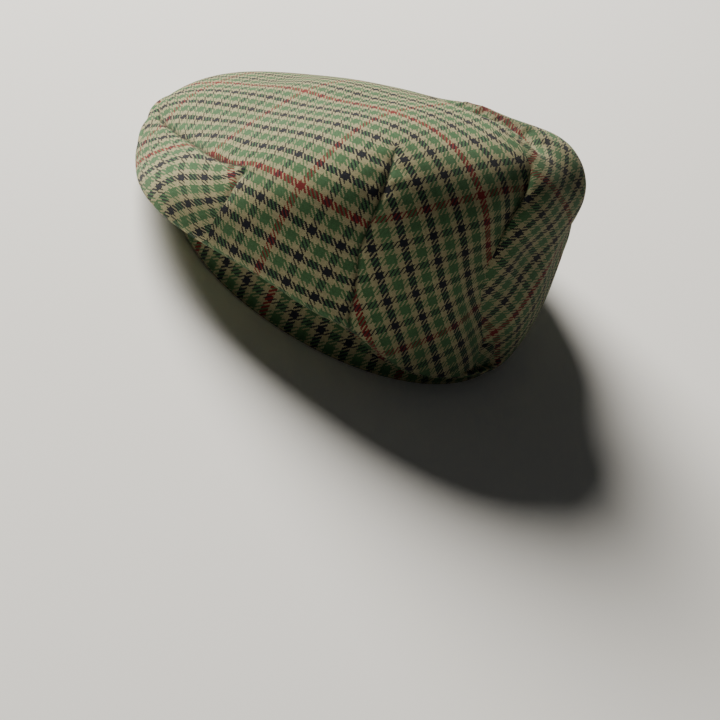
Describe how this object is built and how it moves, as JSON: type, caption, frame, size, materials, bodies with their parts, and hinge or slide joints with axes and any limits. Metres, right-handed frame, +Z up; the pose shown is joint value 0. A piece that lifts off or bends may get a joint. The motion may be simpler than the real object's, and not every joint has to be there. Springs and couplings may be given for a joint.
{
  "type": "flat cap",
  "caption": "Flat cap in green and navy houndstooth check cloth with red and cream lines, darted corners, a plain band round the head opening and a short peak.",
  "frame": {"origin": "on the surface the cap rests on, below the middle of the whole cap; the head opening's middle lies 12 mm behind it", "axes": "+Z up, the peak points along -Y and the wearer's left side is +X"},
  "size_m": [0.235, 0.2459, 0.1143],
  "materials": {
    "check_cloth": "dry woven wool twill, matt",
    "band_cloth": "dry woven wool twill, matt",
    "peak_cloth": "dry woven wool twill stretched over a stiffened board, matt"
  },
  "bodies": {
    "root": {"crown": "check_cloth", "band": "band_cloth", "peak": "peak_cloth"}
  },
  "joints": []
}
